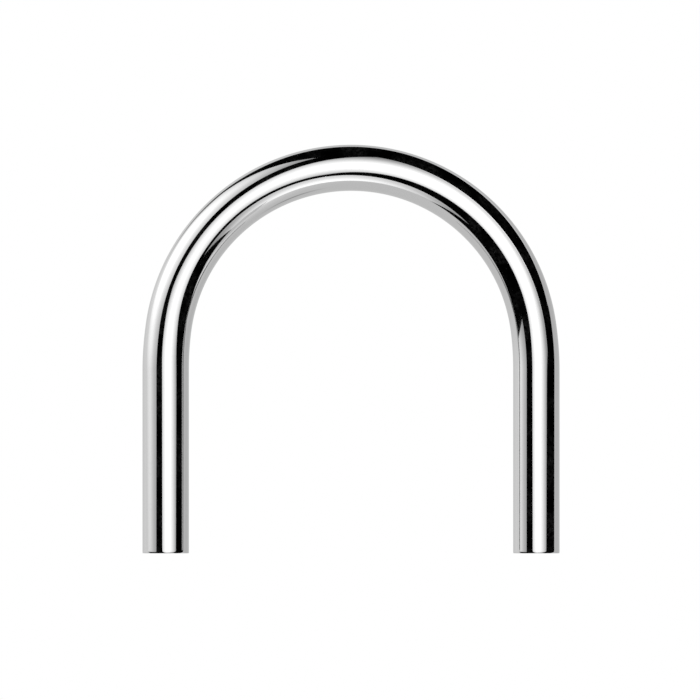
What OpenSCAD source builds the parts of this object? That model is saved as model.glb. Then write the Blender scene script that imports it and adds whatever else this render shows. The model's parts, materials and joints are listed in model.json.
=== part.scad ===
// Horseshoe bar of a body jewellery barbell, as it is sold without its balls.
// One round wire is bent into a U with long parallel legs. Each end is cut flat, has a rounded rim,
// and holds a countersunk blind hole that a threaded ball or ornament screws into.
// The bar lies flat on the plane z = 0 with its bend towards +Y and its open ends towards -Y.
// The origin is under the middle of its box. All sizes are in millimetres.

/* [Wire] */
// Diameter of the round wire
wire_d = 1.6; // [1.6:0.1:2.5]
// Radius of the polished rim round each end face
rim_r = 0.06; // [0.03:0.01:0.08]

/* [Horseshoe] */
// Clear width between the legs
inner_w = 11.25; // [8:0.25:16]
// Straight length of each leg, from the bend to the end face
leg_l = 6.95; // [4.5:0.05:14]

/* [Screw holes] */
// Outer diameter of the thread that each hole is drilled for
thread_d = 1.2; // [1:0.1:1.2]
// Rise of that thread in one turn
thread_pitch = 0.25; // [0.2:0.05:0.25]
// Depth of each hole at its full diameter, from the end face
hole_l = 3; // [2:0.1:3.5]

/* [Hidden] */
$fn = 96;
wire_r = wire_d / 2;
// Radius of the wire's centre line round the bend
bend_r = inner_w / 2 + wire_r;
// The bend's centre, so that the origin is half way between the highest and lowest point of the U
bend_y = (leg_l - bend_r - wire_r) / 2;
// A thread's drill is its outer diameter less one pitch
hole_r = (thread_d - thread_pitch) / 2;
// The countersink opens a little past the thread, at 45 degrees to the hole's axis
mouth_margin = 0.02;
mouth_r = thread_d / 2 + mouth_margin;
mouth_l = mouth_r - hole_r;
// A twist drill leaves a cone at the bottom of the hole
drill_point_angle = 118;
drill_point_l = hole_r / tan(drill_point_angle / 2);
// Cutters reach this far past the end face
past = 0.2;

// Round bar along +Z from its base, with a rim of radius rim_r round its far end
module rimmed_bar(length) {
    rotate_extrude() {
        square([wire_r - rim_r, length]);
        square([wire_r, length - rim_r]);
        translate([wire_r - rim_r, length - rim_r])
            intersection() {
                circle(r = rim_r);
                square(rim_r);
            }
    }
}

// Blind hole seen from its mouth at z = 0 and running along +Z: countersink, drilled wall and drill point
module screw_hole() {
    translate([0, 0, -past])
        cylinder(h = past + hole_l, r = hole_r);
    translate([0, 0, -past])
        cylinder(h = past + mouth_l, r1 = mouth_r + past, r2 = hole_r);
    translate([0, 0, hole_l])
        cylinder(h = drill_point_l, r1 = hole_r, r2 = 0);
}

// Half ring that joins the two legs
module bend() {
    rotate_extrude(angle = 180)
        translate([bend_r, 0])
            circle(r = wire_r);
}

// Puts a child that runs along +Z from the bend's end on one leg; side is -1 for left and 1 for right
module on_leg(side) {
    translate([side * bend_r, 0, 0])
        rotate([90, 0, 0])
            children();
}

// The whole wire: bend and legs, with a screw hole in each end
module horseshoe_bar() {
    color("silver")
        translate([0, bend_y, wire_r])
            difference() {
                union() {
                    bend();
                    for (side = [-1, 1])
                        on_leg(side) rimmed_bar(leg_l);
                }
                for (side = [-1, 1])
                    on_leg(side)
                        translate([0, 0, leg_l])
                            mirror([0, 0, 1])
                                screw_hole();
            }
}

horseshoe_bar();
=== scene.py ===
import json
import logging
import math
from dataclasses import dataclass
from enum import IntEnum

import bpy
import numpy as np
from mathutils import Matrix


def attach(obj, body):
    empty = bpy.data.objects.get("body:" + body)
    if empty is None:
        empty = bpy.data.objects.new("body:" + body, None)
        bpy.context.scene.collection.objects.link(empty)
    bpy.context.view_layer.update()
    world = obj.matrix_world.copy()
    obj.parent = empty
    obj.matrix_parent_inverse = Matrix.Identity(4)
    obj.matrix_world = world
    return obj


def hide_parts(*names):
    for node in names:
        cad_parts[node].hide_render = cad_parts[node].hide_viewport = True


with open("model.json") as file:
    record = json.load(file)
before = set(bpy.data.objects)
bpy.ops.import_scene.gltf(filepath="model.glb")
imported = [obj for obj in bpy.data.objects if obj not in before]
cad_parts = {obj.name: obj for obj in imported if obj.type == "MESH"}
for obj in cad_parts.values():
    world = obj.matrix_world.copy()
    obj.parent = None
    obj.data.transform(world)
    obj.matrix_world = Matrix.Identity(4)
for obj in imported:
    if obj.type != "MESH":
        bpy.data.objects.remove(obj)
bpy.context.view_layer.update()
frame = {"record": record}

MM = 0.001
MICRON = 0.001 * MM
WIRE_ATTRIBUTE = "straight_wire"
GLOW_ATTRIBUTE = "glow"
# A node's sockets by name, and the sockets that an effect gives for its outputs.
Sockets = bpy.types.bpy_prop_collection
Wired = dict[str, bpy.types.NodeSocket]
log = logging.getLogger("horseshoe_bar")


class Zone(IntEnum):
    """Zones of the bar's surface, in the order of its material slots."""

    POLISHED = 0
    TAPPED = 1


class NodeSheet:
    """Node tree of one material, world or node group, filled from code."""

    def __init__(self, tree: bpy.types.NodeTree) -> None:
        """Empties the tree and keeps it."""
        tree.nodes.clear()
        self.tree = tree

    def add(self, kind: str, inputs: dict[str | int, object], **settings: object) -> bpy.types.Node:
        """Adds one node.

        Args:
            kind: Type name of the node.
            inputs: Value or output socket for each input, by the input's name or number.
            settings: The node's own properties.

        Returns:
            The new node.
        """
        node = self.tree.nodes.new(kind)
        for name, value in settings.items():
            setattr(node, name, value)
        for key, value in inputs.items():
            if isinstance(value, bpy.types.NodeSocket):
                self.tree.links.new(value, node.inputs[key])
            else:
                node.inputs[key].default_value = value
        return node

    def end(self, kind: str, shader: bpy.types.Node) -> None:
        """Ends the tree in an output node of the given kind, fed by the shader."""
        self.add(kind, {"Surface": shader.outputs[0]})

    def math(self, operation: str, *values: object) -> bpy.types.NodeSocket:
        """Adds a Math node on the given values and returns its result."""
        return self.add("ShaderNodeMath", dict(enumerate(values)), operation=operation).outputs[0]

    def dot(self, vector: bpy.types.NodeSocket, fixed: np.ndarray) -> bpy.types.NodeSocket:
        """Adds the dot product of a socket's vector with a fixed one and returns its result."""
        inputs = {0: vector, 1: tuple(float(part) for part in fixed)}
        return self.add("ShaderNodeVectorMath", inputs, operation="DOT_PRODUCT").outputs["Value"]

    def span(
        self, value: object, low: float, high: float, to_low: float, to_high: float
    ) -> bpy.types.NodeSocket:
        """Maps a value smoothly from low..high to to_low..to_high, held at both ends."""
        inputs = {"Value": value, "From Min": low, "From Max": high, "To Min": to_low, "To Max": to_high}
        return self.add("ShaderNodeMapRange", inputs, interpolation_type="SMOOTHSTEP").outputs["Result"]


class Effect:
    """Node group with named inputs and outputs, built once and placed in each material that has it."""

    name = "effect"
    inputs: dict[str, str] = {}
    outputs: dict[str, str] = {}

    def group(self) -> bpy.types.NodeTree:
        """Builds the node group at the first call.

        Returns:
            The node group, the same at every call.
        """
        tree = bpy.data.node_groups.get(self.name)
        if tree is None:
            tree = bpy.data.node_groups.new(self.name, "ShaderNodeTree")
            for label, kind in self.inputs.items():
                tree.interface.new_socket(label, in_out="INPUT", socket_type=kind)
            for label, kind in self.outputs.items():
                tree.interface.new_socket(label, in_out="OUTPUT", socket_type=kind)
            sheet = NodeSheet(tree)
            source = sheet.add("NodeGroupInput", {}).outputs
            sheet.add("NodeGroupOutput", self.wire(sheet, source))
        return tree

    def wire(self, sheet: NodeSheet, source: Sockets) -> Wired:
        """Fills the group; each effect has its own.

        Args:
            sheet: Node sheet of the group.
            source: Output sockets of the group's input node.

        Returns:
            The socket for each of the group's outputs.
        """
        raise NotImplementedError

    def place(self, sheet: NodeSheet, inputs: dict[str, object]) -> Sockets:
        """Puts the group into a material's sheet with its own values and returns its outputs."""
        return sheet.add("ShaderNodeGroup", inputs, node_tree=self.group()).outputs


class DrawnLines(Effect):
    """Fine lines that a cloth or a cutter leaves: noise stretched along one axis of its coordinates."""

    name = "drawn_lines"
    inputs = {"Position": "NodeSocketVector", "Stretch": "NodeSocketVector"}
    outputs = {"Lines": "NodeSocketFloat"}
    detail: float = 3.0
    unevenness: float = 0.65
    faint: float = 0.3
    full: float = 0.7

    def wire(self, sheet: NodeSheet, source: Sockets) -> Wired:
        """Lines = noise of the position times the stretch, with its middle range spread to 0..1.

        Args:
            sheet: Node sheet of the group.
            source: Output sockets of the group's input node.

        Returns:
            The socket for Lines.
        """
        factors = {0: source["Position"], 1: source["Stretch"]}
        stretched = sheet.add("ShaderNodeVectorMath", factors, operation="MULTIPLY").outputs["Vector"]
        grain = {"Vector": stretched, "Scale": 1.0, "Detail": self.detail, "Roughness": self.unevenness}
        noise = sheet.add("ShaderNodeTexNoise", grain).outputs["Fac"]
        return {"Lines": sheet.span(noise, self.faint, self.full, 0.0, 1.0)}


class PolishClouds(Effect):
    """Faint patches where the polish is a little less bright: soft noise multiplied by finer noise."""

    name = "polish_clouds"
    inputs = {
        "Position": "NodeSocketVector",
        "Patches per mm": "NodeSocketFloat",
        "Finer": "NodeSocketFloat",
    }
    outputs = {"Clouds": "NodeSocketFloat"}
    detail: float = 2.0
    coarse_range: tuple[float, float] = (0.40, 0.66)
    fine_range: tuple[float, float] = (0.30, 0.70)

    def wire(self, sheet: NodeSheet, source: Sockets) -> Wired:
        """Clouds = coarse noise times noise that is finer by the given factor, both spread to 0..1.

        Args:
            sheet: Node sheet of the group.
            source: Output sockets of the group's input node.

        Returns:
            The socket for Clouds.
        """
        coarse = source["Patches per mm"]
        fine = sheet.math("MULTIPLY", coarse, source["Finer"])
        spread = []
        for scale, (low, high) in ((coarse, self.coarse_range), (fine, self.fine_range)):
            patches = {"Vector": source["Position"], "Scale": scale, "Detail": self.detail}
            noise = sheet.add("ShaderNodeTexNoise", patches).outputs["Fac"]
            spread.append(sheet.span(noise, low, high, 0.0, 1.0))
        return {"Clouds": sheet.math("MULTIPLY", *spread)}


class FinePits(Effect):
    """Tiny pinholes: round dots round the points of a Voronoi pattern, of which only some are kept."""

    name = "fine_pits"
    inputs = {
        "Position": "NodeSocketVector",
        "Cells per mm": "NodeSocketFloat",
        "Radius": "NodeSocketFloat",
        "Share": "NodeSocketFloat",
    }
    outputs = {"Pits": "NodeSocketFloat"}
    flat_share: float = 0.3

    def wire(self, sheet: NodeSheet, source: Sockets) -> Wired:
        """Pits = a dot at the point of each cell that is kept.

        A dot is 1 near the point and falls smoothly to 0 at the radius. A cell is kept where its random
        value is under the share.

        Args:
            sheet: Node sheet of the group.
            source: Output sockets of the group's input node.

        Returns:
            The socket for Pits.
        """
        pattern = {"Vector": source["Position"], "Scale": source["Cells per mm"]}
        cells = sheet.add("ShaderNodeTexVoronoi", pattern)
        near = sheet.math("DIVIDE", cells.outputs["Distance"], source["Radius"])
        dot = sheet.span(near, self.flat_share, 1.0, 1.0, 0.0)
        random = sheet.add("ShaderNodeSeparateColor", {"Color": cells.outputs["Color"]}).outputs[0]
        kept = sheet.math("LESS_THAN", random, source["Share"])
        return {"Pits": sheet.math("MULTIPLY", dot, kept)}


@dataclass(frozen=True)
class MirrorPolish:
    """Bright neutral mirror polish on surgical steel, with faint lengthwise lines, clouding and pinholes."""

    name: str = "mirror_polished_steel"
    dark: float = 0.610
    light: float = 0.622
    edge_tint: float = 1.0
    roughness: float = 0.046
    film: float = 0.0008
    cloud_film: float = 0.018
    pit_film: float = 0.02
    clouds_per_mm: float = 1.3
    finer_clouds: float = 7.0
    line_stretch: tuple[float, float, float] = (0.35, 38.0, 38.0)
    line_height: float = 0.002 * MICRON
    waves_per_mm: float = 0.7
    wave_detail: float = 1.0
    wave_height: float = 0.05 * MICRON
    pit_cells_per_mm: float = 3.2
    pit_radius: float = 0.09
    pit_share: float = 0.16
    pit_height: float = 0.3 * MICRON

    def material(self) -> bpy.types.Material:
        """Builds the material.

        Returns:
            A metal under a trace of dull film, whose colour, film and normal vary along and round the wire.
        """
        made, sheet = new_material(self.name)
        position = wire_position(sheet)
        colour, lines, clouds = grey_and_marks(sheet, self, position)
        pit_inputs = {
            "Position": position,
            "Cells per mm": self.pit_cells_per_mm,
            "Radius": self.pit_radius,
            "Share": self.pit_share,
        }
        pits = FinePits().place(sheet, pit_inputs)["Pits"]
        bare = sheet.math("MULTIPLY_ADD", clouds, -self.cloud_film, 1.0 - self.film)
        bare = sheet.math("MULTIPLY_ADD", pits, -self.pit_film, bare)
        soft = {"Vector": position, "Scale": self.waves_per_mm, "Detail": self.wave_detail}
        waves = sheet.add("ShaderNodeTexNoise", soft).outputs["Fac"]
        height = sheet.math("MULTIPLY", waves, self.wave_height)
        height = sheet.math("MULTIPLY_ADD", lines, self.line_height, height)
        height = sheet.math("MULTIPLY_ADD", pits, -self.pit_height, height)
        bump = sheet.add("ShaderNodeBump", {"Height": height, "Distance": 1.0}).outputs["Normal"]
        inputs = {"Base Color": colour, "Roughness": self.roughness, "Metallic": bare, "Normal": bump}
        finish_metal(sheet, inputs, self.edge_tint)
        return made


@dataclass(frozen=True)
class TappedSteel:
    """Duller steel inside the screw holes, with the rings that a drill and a tap leave."""

    name: str = "tapped_steel"
    dark: float = 0.40
    light: float = 0.55
    edge_tint: float = 0.9
    roughness: float = 0.22
    line_roughness: float = 0.18
    clouds_per_mm: float = 2.0
    finer_clouds: float = 4.0
    line_stretch: tuple[float, float, float] = (60.0, 0.7, 0.7)
    line_height: float = 0.25 * MICRON

    def material(self) -> bpy.types.Material:
        """Builds the material.

        Returns:
            A metal with fine rings round the holes' axes.
        """
        made, sheet = new_material(self.name)
        colour, rings, _ = grey_and_marks(sheet, self, wire_position(sheet))
        rough = sheet.math("MULTIPLY_ADD", rings, self.line_roughness, self.roughness)
        height = sheet.math("MULTIPLY", rings, self.line_height)
        bump = sheet.add("ShaderNodeBump", {"Height": height, "Distance": 1.0}).outputs["Normal"]
        inputs = {"Base Color": colour, "Roughness": rough, "Metallic": 1.0, "Normal": bump}
        finish_metal(sheet, inputs, self.edge_tint)
        return made


def new_material(name: str) -> tuple[bpy.types.Material, NodeSheet]:
    """Makes an empty material.

    Args:
        name: The material's name.

    Returns:
        The material and its node sheet.
    """
    made = bpy.data.materials.new(name)
    made.use_nodes = True
    return made, NodeSheet(made.node_tree)


def wire_position(sheet: NodeSheet) -> bpy.types.NodeSocket:
    """Adds the place on the straightened wire.

    Args:
        sheet: Node sheet of the material.

    Returns:
        The socket of the place in millimetres, with the distance along the wire first.
    """
    stored = sheet.add("ShaderNodeAttribute", {}, attribute_name=WIRE_ATTRIBUTE).outputs["Vector"]
    scaled = sheet.add("ShaderNodeVectorMath", {0: stored, "Scale": 1 / MM}, operation="SCALE")
    return scaled.outputs["Vector"]


def grey_and_marks(
    sheet: NodeSheet, finish: MirrorPolish | TappedSteel, position: bpy.types.NodeSocket
) -> tuple[bpy.types.NodeSocket, bpy.types.NodeSocket, bpy.types.NodeSocket]:
    """Adds the lines and clouds of a finish, and the neutral grey that they vary.

    The grey rises smoothly from the finish's dark to its light as lines less clouds goes from -1 to 1.

    Args:
        sheet: Node sheet of the material.
        finish: The finish, with its greys and the sizes of its marks.
        position: Socket of the place on the straightened wire.

    Returns:
        The sockets of the colour, the lines and the clouds.
    """
    lines = DrawnLines().place(sheet, {"Position": position, "Stretch": finish.line_stretch})["Lines"]
    patches = {"Position": position, "Patches per mm": finish.clouds_per_mm, "Finer": finish.finer_clouds}
    clouds = PolishClouds().place(sheet, patches)["Clouds"]
    tone = sheet.span(sheet.math("SUBTRACT", lines, clouds), -1.0, 1.0, finish.dark, finish.light)
    colour = sheet.add("ShaderNodeCombineColor", {0: tone, 1: tone, 2: tone}).outputs[0]
    return colour, lines, clouds


def finish_metal(sheet: NodeSheet, inputs: dict[str, object], edge_tint: float) -> None:
    """Ends a material in a metallic shader.

    Args:
        sheet: Node sheet of the material.
        inputs: Value or socket for each of the shader's inputs.
        edge_tint: How much of the colour's rise at grazing angles is kept.
    """
    tint = (edge_tint, edge_tint, edge_tint, 1.0)
    shader = sheet.add("ShaderNodeBsdfPrincipled", {**inputs, "Specular Tint": tint})
    sheet.end("ShaderNodeOutputMaterial", shader)


@dataclass(frozen=True)
class BentLine:
    """Centre line of the wire: two straight legs and a bend that eases into them.

    Distances along it count from the middle of the bend, negative towards the left end.
    """

    leg_x: float
    top_y: float
    end_y: float
    tighter: float = 0.043 * MM
    ease_angle: float = math.radians(8.0)

    @property
    def bend_radius(self) -> float:
        """Radius of the main bend, a little tighter than half the distance between the legs."""
        return self.leg_x - self.tighter

    @property
    def ease_radius(self) -> float:
        """Radius of the arcs that touch both the main bend and a leg."""
        return self.bend_radius + self.tighter / (1 - math.cos(self.ease_angle))

    @property
    def bend_y(self) -> float:
        """Height of the main bend's centre."""
        return self.top_y - self.bend_radius

    @property
    def leg_y(self) -> float:
        """Height at which the straight legs start."""
        return self.bend_y - (self.ease_radius - self.bend_radius) * math.sin(self.ease_angle)

    @property
    def bend_length(self) -> float:
        """Distance from the middle to the start of the easing arc."""
        return self.bend_radius * (math.pi / 2 - self.ease_angle)

    @property
    def curved_length(self) -> float:
        """Distance from the middle to the start of the straight leg."""
        return self.bend_length + self.ease_radius * self.ease_angle

    @property
    def half_length(self) -> float:
        """Distance from the middle to an end face."""
        return self.curved_length + self.leg_y - self.end_y

    def leg_share(self, along: np.ndarray) -> np.ndarray:
        """Works out how far each place has left the bend for a leg.

        With s the part of the easing arc that is passed, held to 0..1, the share is s squared times
        (3 - 2 s).

        Args:
            along: Distances along the line.

        Returns:
            Shares, from 0 in the bend to 1 in the legs.
        """
        passed = (np.abs(along) - self.bend_length) / (self.curved_length - self.bend_length)
        passed = np.clip(passed, 0.0, 1.0)
        return passed**2 * (3 - 2 * passed)

    def at(self, along: np.ndarray) -> tuple[np.ndarray, np.ndarray]:
        """Places points on the line.

        With t the distance from the middle, the line turns by t over the main radius, then by the rest over
        the easing radius, and then runs straight down. Each point is its arc's centre plus the radius times
        the outward direction (sin turn, cos turn), mirrored to the side that the distance's sign names.

        Args:
            along: Distances along the line.

        Returns:
            The points' x and y, and the outward direction's x and y, as arrays with two columns.
        """
        t = np.abs(along)
        side = np.where(along < 0, -1.0, 1.0)
        main = t <= self.bend_length
        turn_main = t / self.bend_radius
        turn_ease = math.pi / 2 - self.ease_angle + (t - self.bend_length) / self.ease_radius
        turn = np.minimum(np.where(main, turn_main, turn_ease), math.pi / 2)
        radius = np.where(main, self.bend_radius, self.ease_radius)
        centre_x = np.where(main, 0.0, self.leg_x - self.ease_radius)
        centre_y = np.where(main, self.bend_y, self.leg_y)
        x = centre_x + radius * np.sin(turn)
        y = centre_y + radius * np.cos(turn) - np.maximum(t - self.curved_length, 0.0)
        return np.stack([side * x, y], -1), np.stack([side * np.sin(turn), np.cos(turn)], -1)


@dataclass(frozen=True)
class ScrewHole:
    """Countersunk blind hole with a right-hand thread, along the axis of a leg."""

    wall_radius: float
    depth: float
    thread_radius: float = 0.6 * MM
    pitch: float = 0.25 * MM
    mouth_radius: float = 0.62 * MM
    point_half_angle: float = math.radians(59.0)
    rows_per_turn: int = 10
    root_half: float = 1 / 16
    crest_start: float = 3 / 8
    fading_turns: float = 2.0
    clear_turns: float = 1.0
    point_rows: tuple[float, ...] = (0.9, 0.6, 0.3)

    @property
    def point_length(self) -> float:
        """Length of the cone that the drill leaves at the bottom."""
        return self.wall_radius / math.tan(self.point_half_angle)

    def rows(self) -> np.ndarray:
        """Spaces the rows of the hole's grid: a few on the end cone, then evenly up the wall.

        Returns:
            Depths from near the drill's point up to the mouth.
        """
        step = self.pitch / self.rows_per_turn
        point = self.depth + self.point_length * np.array(self.point_rows)
        wall = np.linspace(self.depth, 0.0, round(self.depth / step) + 1)
        return np.concatenate([point, wall])

    def radius(self, deep: np.ndarray, turns: np.ndarray) -> np.ndarray:
        """Works out the hole's surface.

        The radius is the largest of three: the drilled wall with its end cone, the 45 degree countersink,
        and the thread, whose groove repeats with (depth over pitch less turns) and is a V with a flat bottom
        and a flat crest. The groove fades out over its last turns, and stops short of the end cone.

        Args:
            deep: Depths below the end face, as a column.
            turns: Turns round the axis, as a row.

        Returns:
            Radii on the grid of the two.
        """
        wall = self.wall_radius * np.clip(1 - (deep - self.depth) / self.point_length, 0.0, 1.0)
        countersink = self.mouth_radius - deep
        phase = deep / self.pitch - turns
        from_groove = np.abs(phase - np.round(phase))
        groove = np.clip((self.crest_start - from_groove) / (self.crest_start - self.root_half), 0.0, 1.0)
        left = (self.depth - deep) / self.pitch - self.clear_turns
        fade = np.clip(left / self.fading_turns, 0.0, 1.0)
        thread = self.wall_radius + (self.thread_radius - self.wall_radius) * groove * fade
        thread = np.where(left > 0, thread, 0.0)
        return np.maximum(np.maximum(wall, countersink), thread)


@dataclass(frozen=True)
class HorseshoeBar:
    """The whole bar: one bent round wire with a screw hole in each of its two flat-cut ends.

    Bending has drawn the wire a trace thinner, so the legs are thicker than the bend by leg_gain a side.
    """

    line: BentLine
    hole: ScrewHole
    wire_radius: float
    axis_z: float
    leg_gain: float = 0.0066 * MM
    leg_spread: float = 0.003 * MM
    end_trim: float = 0.0062 * MM
    rim_radius: float = 0.0045 * MM
    taper_length: float = 0.152 * MM
    taper_depth: float = 0.0084 * MM
    taper_power: float = 6.9
    taper_widening: float = 1.5
    crease: float = 0.002 * MM
    rim_rows: int = 9
    taper_rows: int = 13
    leg_rows: int = 9
    columns: int = 144
    bend_step: float = math.radians(1.2)

    @classmethod
    def from_frame(cls, record: dict) -> "HorseshoeBar":
        """Takes the bar's sizes from the frame.

        The origin is half way between the end faces and the top of the bend. The axis is raised by leg_gain,
        so that the thicker legs rest on z = 0, and each end is cut back by end_trim.

        Args:
            record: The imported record, whose mounts give the wire, the legs and the holes.

        Returns:
            The bar at its real size and place.
        """
        mounts = {mount["name"]: mount for mount in record["mounts"]}
        leg, hole = mounts["right_leg"], mounts["right_screw_hole"]
        wire_radius = leg["dims"]["r_mm"] * MM
        leg_x, _, axis_z = leg["pos_m"]
        end_y = mounts["right_end_face"]["pos_m"][1]
        depth = hole["pos_m"][1] + hole["dims"]["length_mm"] * MM / 2 - end_y
        line = BentLine(leg_x=leg_x + cls.leg_spread, top_y=-end_y - wire_radius, end_y=end_y + cls.end_trim)
        inside = ScrewHole(wall_radius=hole["dims"]["r_mm"] * MM, depth=depth)
        return cls(line, inside, wire_radius, axis_z + cls.leg_gain)

    def polished(self, deep: np.ndarray) -> np.ndarray:
        """Returns the wire's radius near an end, less by a power curve where the polish has worn it."""
        worn = np.clip(1 - deep / self.taper_length, 0.0, 1.0) ** self.taper_power
        return self.wire_radius + self.leg_gain - self.taper_depth * worn

    def end_profile(self) -> tuple[np.ndarray, np.ndarray]:
        """Works out the outline of one end from the countersink's edge to the plain wire.

        The flat land is a straight line at depth 0, the rim is a quarter circle, and the taper follows the
        power curve over steps that widen.

        Returns:
            Depths below the end face and radii.
        """
        edge = float(self.polished(np.zeros(1))[0]) - self.rim_radius
        land = np.array([self.hole.mouth_radius + self.crease, edge - self.crease])
        turn = np.linspace(0.0, math.pi / 2, self.rim_rows)
        rim_deep = self.rim_radius * (1 - np.cos(turn))
        rim = self.polished(rim_deep) - self.rim_radius * (1 - np.sin(turn))
        widening = np.linspace(0.0, 1.0, self.taper_rows)[1:] ** self.taper_widening
        taper_deep = self.rim_radius + (self.taper_length - self.rim_radius) * widening
        deep = np.concatenate([np.zeros(2), rim_deep, taper_deep])
        return deep, np.concatenate([land, rim, self.polished(taper_deep)])

    def grid(self) -> tuple[np.ndarray, np.ndarray, np.ndarray]:
        """Works out the closed surface as a profile carried along the centre line.

        The rows run from the drill point in the left end up its hole, over the end face and the rim, along
        the outside of the whole wire, and down into the right end. A row has a distance along the line and a
        radius for each turn, and a point is the line's point plus radius times (cos turn outwards, sin turn
        upwards).

        Returns:
            Points on the grid, their places on the straightened wire, and the zone of each row.
        """
        turns = np.arange(self.columns) / self.columns
        hole_deep = self.hole.rows()
        end_deep, end_radius = self.end_profile()
        half = self.line.half_length
        count = round(2 * self.line.curved_length / (self.bend_step * self.line.bend_radius))
        bend = np.linspace(-self.line.curved_length, self.line.curved_length, count + 1)
        leg = np.linspace(self.line.curved_length, half - self.taper_length, self.leg_rows)[1:-1]
        outside = np.concatenate([-leg[::-1], bend, leg])
        left = np.concatenate([hole_deep, end_deep]) - half
        along = np.concatenate([left, outside, -left[::-1]])
        left_hole = self.hole.radius(hole_deep[:, None], turns[None, :])
        right_hole = self.hole.radius(hole_deep[:, None], -turns[None, :])[::-1]
        end = np.repeat(end_radius[:, None], self.columns, 1)
        wire = self.wire_radius + self.leg_gain * self.line.leg_share(outside)
        wire = np.repeat(wire[:, None], self.columns, 1)
        radius = np.concatenate([left_hole, end, wire, end[::-1], right_hole])
        zone = np.full(len(along), int(Zone.POLISHED))
        zone[: len(hole_deep)] = Zone.TAPPED
        zone[-len(hole_deep) :] = Zone.TAPPED
        place, outward = self.line.at(along)
        across = radius * np.cos(2 * math.pi * turns)
        up = radius * np.sin(2 * math.pi * turns)
        points = np.empty(radius.shape + (3,))
        points[..., :2] = place[:, None, :] + across[..., None] * outward[:, None, :]
        points[..., 2] = self.axis_z + up
        straight = np.stack([np.repeat(along[:, None], self.columns, 1), across, up], -1)
        return points, straight, zone

    def build(self) -> bpy.types.Object:
        """Builds the bar's mesh and dresses it.

        Returns:
            The bar as one closed object with two materials.
        """
        points, straight, zone = self.grid()
        tip = self.line.half_length - self.hole.depth - self.hole.point_length
        tip_along = np.array([-tip, tip])
        tip_place, _ = self.line.at(tip_along)
        tips = np.column_stack([tip_place, np.full(2, self.axis_z)])
        tips_straight = np.column_stack([tip_along, np.zeros((2, 2))])
        mesh = closed_tube("horseshoe_bar_surface", points, tips)
        stored = mesh.attributes.new(WIRE_ATTRIBUTE, "FLOAT_VECTOR", "POINT")
        every = np.concatenate([straight.reshape(-1, 3), tips_straight])
        stored.data.foreach_set("vector", every.astype(np.float32).ravel())
        rows = np.minimum(zone[:-1], zone[1:])
        faces = np.concatenate([np.repeat(rows, self.columns), np.full(2 * self.columns, int(Zone.TAPPED))])
        mesh.polygons.foreach_set("material_index", faces.astype(np.int32))
        mesh.materials.append(MirrorPolish().material())
        mesh.materials.append(TappedSteel().material())
        bar = new_object("polished_horseshoe_bar", mesh)
        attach(bar, "root")
        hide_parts("horseshoe_bar")
        return bar


def new_object(name: str, data: bpy.types.ID) -> bpy.types.Object:
    """Makes an object and links it to the scene.

    Args:
        name: The object's name.
        data: Its mesh or camera.

    Returns:
        The object.
    """
    made = bpy.data.objects.new(name, data)
    bpy.context.scene.collection.objects.link(made)
    return made


def closed_tube(name: str, points: np.ndarray, tips: np.ndarray) -> bpy.types.Mesh:
    """Makes a mesh of a grid that closes round each row and is capped by a fan to a tip at both ends.

    Face (i, j) joins points (i, j), (i, j+1), (i+1, j+1) and (i+1, j), with the column counted round. The
    fans join each edge of the first and last row to its tip.

    Args:
        name: The mesh's name.
        points: Grid of points, rows by columns by three.
        tips: The first and the last tip.

    Returns:
        The smooth-shaded mesh, with the grid's faces first and then the two fans.
    """
    rows, columns = points.shape[:2]
    index = np.arange(rows * columns).reshape(rows, columns)
    after = np.roll(index, -1, axis=1)
    quads = np.stack([index[:-1], after[:-1], after[1:], index[1:]], -1).reshape(-1, 4)
    first, last = rows * columns, rows * columns + 1
    start_fan = np.column_stack([after[0], index[0], np.full(columns, first)])
    end_fan = np.column_stack([index[-1], after[-1], np.full(columns, last)])
    corners = np.concatenate([quads.ravel(), start_fan.ravel(), end_fan.ravel()])
    sizes = np.concatenate([np.full(len(quads), 4), np.full(2 * columns, 3)])
    return mesh_from_arrays(name, np.concatenate([points.reshape(-1, 3), tips]), corners, sizes)


def mesh_from_arrays(
    name: str, points: np.ndarray, corners: np.ndarray, sizes: np.ndarray
) -> bpy.types.Mesh:
    """Puts arrays into a new smooth-shaded mesh.

    Args:
        name: The mesh's name.
        points: Points, three numbers each.
        corners: Point numbers of all faces, one face after the other.
        sizes: Number of corners of each face.

    Returns:
        The mesh.
    """
    mesh = bpy.data.meshes.new(name)
    mesh.vertices.add(len(points))
    mesh.vertices.foreach_set("co", points.astype(np.float32).ravel())
    mesh.loops.add(len(corners))
    mesh.loops.foreach_set("vertex_index", corners.astype(np.int32))
    mesh.polygons.add(len(sizes))
    mesh.polygons.foreach_set("loop_start", (np.cumsum(sizes) - sizes).astype(np.int32))
    mesh.update(calc_edges=True)
    mesh.shade_smooth()
    return mesh


def direction(azimuth: np.ndarray | float, polar: np.ndarray | float) -> np.ndarray:
    """Returns the unit vector at an azimuth from +X to +Y and a polar angle from straight up, in degrees."""
    a, p = np.broadcast_arrays(np.radians(azimuth), np.radians(polar))
    return np.stack([np.sin(p) * np.cos(a), np.sin(p) * np.sin(a), np.cos(p)], -1)


def facing_axes(azimuth: float, polar: float) -> tuple[np.ndarray, np.ndarray, np.ndarray]:
    """Returns a direction and, square to it, those in which the azimuth and the polar angle grow."""
    across = direction(azimuth + 90.0, 90.0)
    return direction(azimuth, polar), across, direction(azimuth, polar + 90.0)


def glowing_surface(name: str, strength: float | str) -> bpy.types.Material:
    """Makes a material that only gives light.

    Args:
        name: The material's name.
        strength: Its brightness, or the name of the mesh attribute that holds it for each point.

    Returns:
        The material.
    """
    made, sheet = new_material(name)
    if isinstance(strength, str):
        strength = sheet.add("ShaderNodeAttribute", {}, attribute_name=strength).outputs["Fac"]
    sheet.end("ShaderNodeOutputMaterial", sheet.add("ShaderNodeEmission", {"Strength": strength}))
    return made


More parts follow.
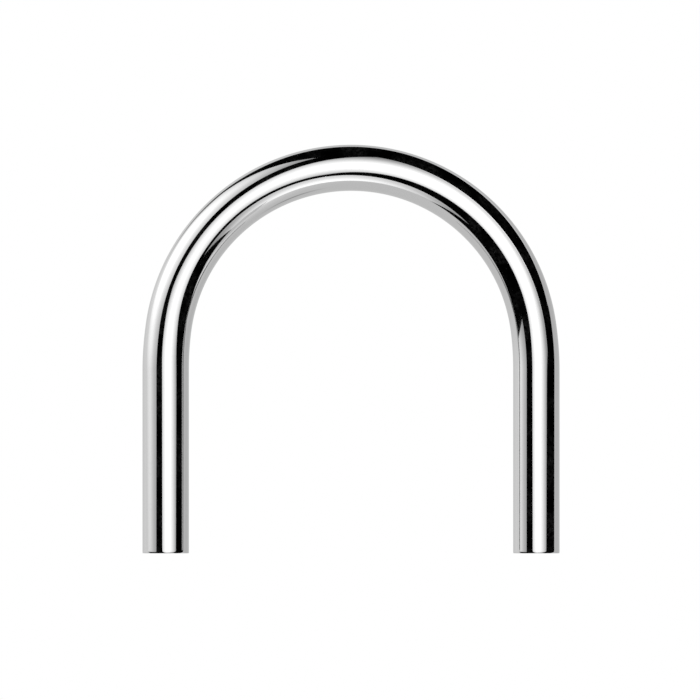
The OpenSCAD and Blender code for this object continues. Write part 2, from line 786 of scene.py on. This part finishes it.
@dataclass(frozen=True)
class Glow:
    """How bright a soft light looks from the bar: a bell round a hot spot, wider up, down or across."""

    azimuth: float
    polar: float
    peak: float
    across: float
    above: float
    below: float

    def radiance(self, points: np.ndarray) -> np.ndarray:
        """Works out the brightness of each point as seen from the origin.

        It is the peak times e to the minus (across angle over its width) squared minus (down angle over its
        width) squared, where the angles are measured from the hot spot in degrees.

        Args:
            points: Points of the light, three numbers each.

        Returns:
            Brightness at each point.
        """
        ahead, across, down = facing_axes(self.azimuth, self.polar)
        forward = points @ ahead
        side = np.degrees(np.arctan2(points @ across, forward)) / self.across
        drop = np.degrees(np.arctan2(points @ down, forward))
        drop = drop / np.where(drop < 0, self.above, self.below)
        return self.peak * np.exp(-(side**2) - drop**2)


@dataclass(frozen=True)
class StudioCard:
    """Flat four-sided piece that faces the bar: a softly lit cloth, a black card, or a grey card whose even
    glow is painted light.

    Its corners are where the bar sees them on the card's plane, as (azimuth, angle down from straight up) in
    degrees, in the order upper left, upper right, lower right and lower left.
    """

    name: str
    azimuth: float
    polar: float
    distance: float
    corners: tuple[tuple[float, float], ...]
    # For the grey card, tone is painted light: a fixed glow in place of light falling on a grey card.
    tone: float = 0.0
    glows: tuple[Glow, ...] = ()
    only_mirrored: bool = False
    cells: int = 48

    def build(self) -> bpy.types.Object:
        """Builds the card as a stage piece.

        A corner is the direction to it, lengthened until it meets the plane that lies square to the
        direction to the card at its distance. Any other point is the mean of the four corners, weighted by
        its two parameters from 0 to 1. Its brightness is the card's tone plus all its glows, and at least 0.

        Returns:
            The card's object, which the camera doesn't see.
        """
        corner = direction(*np.array(self.corners).T)
        corner = self.distance * corner / (corner @ direction(self.azimuth, self.polar))[:, None]
        steps = np.linspace(0.0, 1.0, self.cells + 1)
        a, b = np.meshgrid(steps, steps)
        weights = np.stack([(1 - a) * (1 - b), a * (1 - b), a * b, (1 - a) * b], -1)
        points = (weights @ corner).reshape(-1, 3)
        index = np.arange(len(points)).reshape(a.shape)
        quads = np.stack([index[:-1, :-1], index[1:, :-1], index[1:, 1:], index[:-1, 1:]], -1).reshape(-1)
        mesh = mesh_from_arrays(self.name, points, quads, np.full(self.cells**2, 4))
        bright = self.tone + sum((glow.radiance(points) for glow in self.glows), np.zeros(len(points)))
        stored = mesh.attributes.new(GLOW_ATTRIBUTE, "FLOAT", "POINT")
        stored.data.foreach_set("value", np.maximum(bright, 0.0).astype(np.float32))
        mesh.materials.append(glowing_surface(self.name + "_surface", GLOW_ATTRIBUTE))
        card = new_object(self.name, mesh)
        card.visible_camera = False
        card.visible_diffuse = not self.only_mirrored
        card.visible_shadow = not self.only_mirrored
        return card


@dataclass(frozen=True)
class PaleFloor:
    """Plain white sheet, lit from below, that the bar lies on without a shadow."""

    half_size: float = 1.2
    glow: float = 1.0

    def build(self) -> bpy.types.Object:
        """Builds the sheet as a stage piece at z = 0.

        Returns:
            The floor's object. The bar doesn't mirror it, but the lit table of the surroundings.
        """
        sides = np.array([-self.half_size, self.half_size])
        x, y = np.meshgrid(sides, sides)
        points = np.stack([x, y, np.zeros(x.shape)], -1).reshape(-1, 3)
        mesh = mesh_from_arrays("white_sheet", points, np.array([0, 1, 3, 2]), np.array([4]))
        mesh.materials.append(glowing_surface("white_sheet", self.glow))
        floor = new_object("floor", mesh)
        floor.visible_glossy = False
        return floor


@dataclass(frozen=True)
class Shade:
    """Soft oval shadow on the table, as the bar sees it; a negative depth makes a brighter patch.

    The angles are in degrees. The oval is turned by its tilt from the azimuth's direction downwards.
    """

    azimuth: float
    polar: float
    across: float
    down: float
    tilt: float
    depth: float

    def factor(self, sheet: NodeSheet, looked: bpy.types.NodeSocket) -> bpy.types.NodeSocket:
        """Adds what the shadow leaves of the brightness.

        With u and v the parts of the direction along the oval's two axes, each over the sine of its half
        size, and r the root of u squared plus v squared, it rises smoothly from 1 - depth at r = 0 to 1 at
        r = 1.

        Args:
            sheet: Node sheet of the world.
            looked: Socket of the direction from the bar.

        Returns:
            The socket of the factor.
        """
        _, across, down = facing_axes(self.azimuth, self.polar)
        turn = math.radians(self.tilt)
        long_axis = (across * math.cos(turn) + down * math.sin(turn)) / math.sin(math.radians(self.across))
        short_axis = (down * math.cos(turn) - across * math.sin(turn)) / math.sin(math.radians(self.down))
        u, v = sheet.dot(looked, long_axis), sheet.dot(looked, short_axis)
        far = sheet.math("SQRT", sheet.math("MULTIPLY_ADD", u, u, sheet.math("MULTIPLY", v, v)))
        return sheet.span(far, 0.0, 1.0, 1.0 - self.depth, 1.0)


@dataclass(frozen=True)
class Surroundings:
    """What lies beyond the cards: white for the camera, and for the metal a lit table in a dark room.

    The table has three edges. Each is given by the direction square to the plane through it and the bar, as
    (azimuth, angle down from straight up) in degrees, and the table lies on the other side of that plane.
    """

    backdrop: float
    table: float
    table_slopes: tuple[float, float, float]
    edges: tuple[tuple[float, float], ...]
    softness: float
    shades: tuple[Shade, ...]

    def build(self) -> None:
        """Builds the world.

        With d the direction from the bar, the table's brightness is a constant plus the dot product of d
        with the slopes. It is multiplied, for each edge, by a smooth step that falls from 1 to 0 as the dot
        product of d with the edge's direction rises through 0, and then by each shade's factor.
        """
        world = bpy.data.worlds.new("studio")
        bpy.context.scene.world = world
        world.use_nodes = True
        sheet = NodeSheet(world.node_tree)
        looked = sheet.add("ShaderNodeTexCoord", {}).outputs["Generated"]
        table = sheet.math("ADD", sheet.dot(looked, np.array(self.table_slopes)), self.table)
        for edge in self.edges:
            beyond = sheet.dot(looked, direction(*edge))
            step = sheet.span(beyond, -self.softness, self.softness, 1.0, 0.0)
            table = sheet.math("MULTIPLY", table, step)
        for shade in self.shades:
            table = sheet.math("MULTIPLY", table, shade.factor(sheet, looked))
        ray = sheet.add("ShaderNodeLightPath", {}).outputs
        strength = sheet.math("MULTIPLY", ray["Is Camera Ray"], self.backdrop)
        strength = sheet.math("MULTIPLY_ADD", ray["Is Glossy Ray"], table, strength)
        shader = sheet.add("ShaderNodeBackground", {"Color": (1.0, 1.0, 1.0, 1.0), "Strength": strength})
        sheet.end("ShaderNodeOutputWorld", shader)


@dataclass(frozen=True)
class CopyStand:
    """Camera on a copy stand, straight above the bar.

    The clips are parts of the height.
    """

    height: float = 1000.0 * MM
    field_width: float = 24.28 * MM
    shift_x: float = -0.036 * MM
    shift_y: float = -0.032 * MM
    near_clip: float = 0.1
    far_clip: float = 2.0

    def build(self, aim_z: float) -> bpy.types.Object:
        """Sets the camera up with the image's top towards +Y.

        Args:
            aim_z: Height of the plane whose width fills the picture.

        Returns:
            The camera.
        """
        camera = new_object("camera", bpy.data.cameras.new("camera"))
        camera.location = (self.shift_x, self.shift_y, aim_z + self.height)
        camera.data.lens = camera.data.sensor_width * self.height / self.field_width
        camera.data.clip_start = self.height * self.near_clip
        camera.data.clip_end = self.height * self.far_clip
        bpy.context.scene.camera = camera
        return camera


@dataclass(frozen=True)
class Studio:
    """Camera, soft lights and plain cards, floor and surroundings."""

    cards: tuple[StudioCard, ...]
    surroundings: Surroundings

    def build(self, aim_z: float) -> list[bpy.types.Object]:
        """Builds everything round the bar.

        Args:
            aim_z: Height of the plane whose width fills the picture.

        Returns:
            The camera, the cards and the floor.
        """
        stand = CopyStand().build(aim_z)
        cards = [card.build() for card in self.cards]
        floor = PaleFloor().build()
        self.surroundings.build()
        return [stand, *cards, floor]


def soft_lights() -> tuple[StudioCard, ...]:
    """Sets out the soft lights.

    Returns:
        A wide one overhead, a tilted one at the left and a low one in front.
    """
    overhead = StudioCard(
        name="overhead_light",
        azimuth=58.0,
        polar=38.0,
        distance=194.0 * MM,
        corners=((-82.5, 24.0), (160.0, 28.0), (82.5, 64.0), (4.0, 60.5)),
        glows=(
            Glow(azimuth=50.0, polar=18.0, peak=2.08, across=37.5, above=41.5, below=40.5),
            Glow(azimuth=38.5, polar=56.0, peak=1.17, across=26.0, above=2.5, below=20.0),
        ),
    )
    left = StudioCard(
        name="left_light",
        azimuth=155.0,
        polar=95.0,
        distance=110.0 * MM,
        corners=((100.0, 68.0), (-169.0, 50.0), (-176.5, 107.0), (129.0, 118.0)),
        glows=(
            Glow(azimuth=151.0, polar=82.0, peak=2.09, across=41.5, above=50.0, below=57.0),
            Glow(azimuth=154.0, polar=63.0, peak=-0.5, across=31.0, above=25.5, below=17.0),
        ),
    )
    front = StudioCard(
        name="front_light",
        azimuth=-83.0,
        polar=69.0,
        distance=68.0 * MM,
        corners=((-132.5, 51.5), (-33.5, 39.5), (-47.0, 68.5), (-117.5, 70.5)),
        glows=(
            Glow(azimuth=-82.0, polar=59.0, peak=1.95, across=41.0, above=46.0, below=15.5),
            Glow(azimuth=-72.5, polar=40.0, peak=-0.5, across=72.5, above=9.5, below=19.5),
        ),
    )
    return overhead, left, front


def plain_cards() -> tuple[StudioCard, ...]:
    """Sets out the cards that only the bar mirrors.

    Returns:
        A grey one before the front light, glowing with painted light, and a black one at the right.
    """
    grey = StudioCard(
        name="grey_card",
        azimuth=-52.0,
        polar=70.0,
        distance=58.0 * MM,
        corners=((-61.5, 58.0), (-29.5, 75.0), (-42.0, 79.5), (-56.0, 73.5)),
        # Painted light: the grey card's even glow stands in for light falling on it, and lights nothing.
        tone=0.75,
        only_mirrored=True,
    )
    black = StudioCard(
        name="black_card",
        azimuth=0.0,
        polar=90.0,
        distance=55.0 * MM,
        corners=((-31.0, 74.0), (10.0, 78.0), (13.5, 102.5), (-8.5, 97.5)),
        only_mirrored=True,
    )
    return grey, black


def table_and_room() -> Surroundings:
    """Sets out what lies beyond the cards.

    Returns:
        The white backdrop and the lit table, with its edges and its soft shadows.
    """
    shades = (
        Shade(azimuth=-69.0, polar=111.5, across=16.5, down=7.5, tilt=28.0, depth=0.46),
        Shade(azimuth=127.5, polar=127.0, across=11.5, down=30.0, tilt=-59.5, depth=1.0),
        Shade(azimuth=148.5, polar=119.0, across=56.0, down=87.5, tilt=57.0, depth=-0.58),
        Shade(azimuth=40.0, polar=123.0, across=79.0, down=6.0, tilt=38.5, depth=-0.57),
    )
    return Surroundings(
        backdrop=1.0,
        table=0.709,
        table_slopes=(-0.036, -0.072, 0.011),
        edges=((89.0, 42.0), (103.0, 22.0), (83.0, 26.0)),
        softness=0.01,
        shades=shades,
    )


def main() -> None:
    """Builds the bar and its studio in order, reports each piece, and sets plain display colours."""
    logging.basicConfig(level=logging.INFO, format="%(name)s: %(message)s")
    bar = HorseshoeBar.from_frame(frame["record"])
    studio = Studio((*soft_lights(), *plain_cards()), table_and_room())
    for piece in (bar.build(), *studio.build(bar.axis_z)):
        log.info("built %s", piece.name)
    bpy.context.scene.view_settings.view_transform = "Standard"
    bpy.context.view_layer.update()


if __name__ == "__main__":
    main()
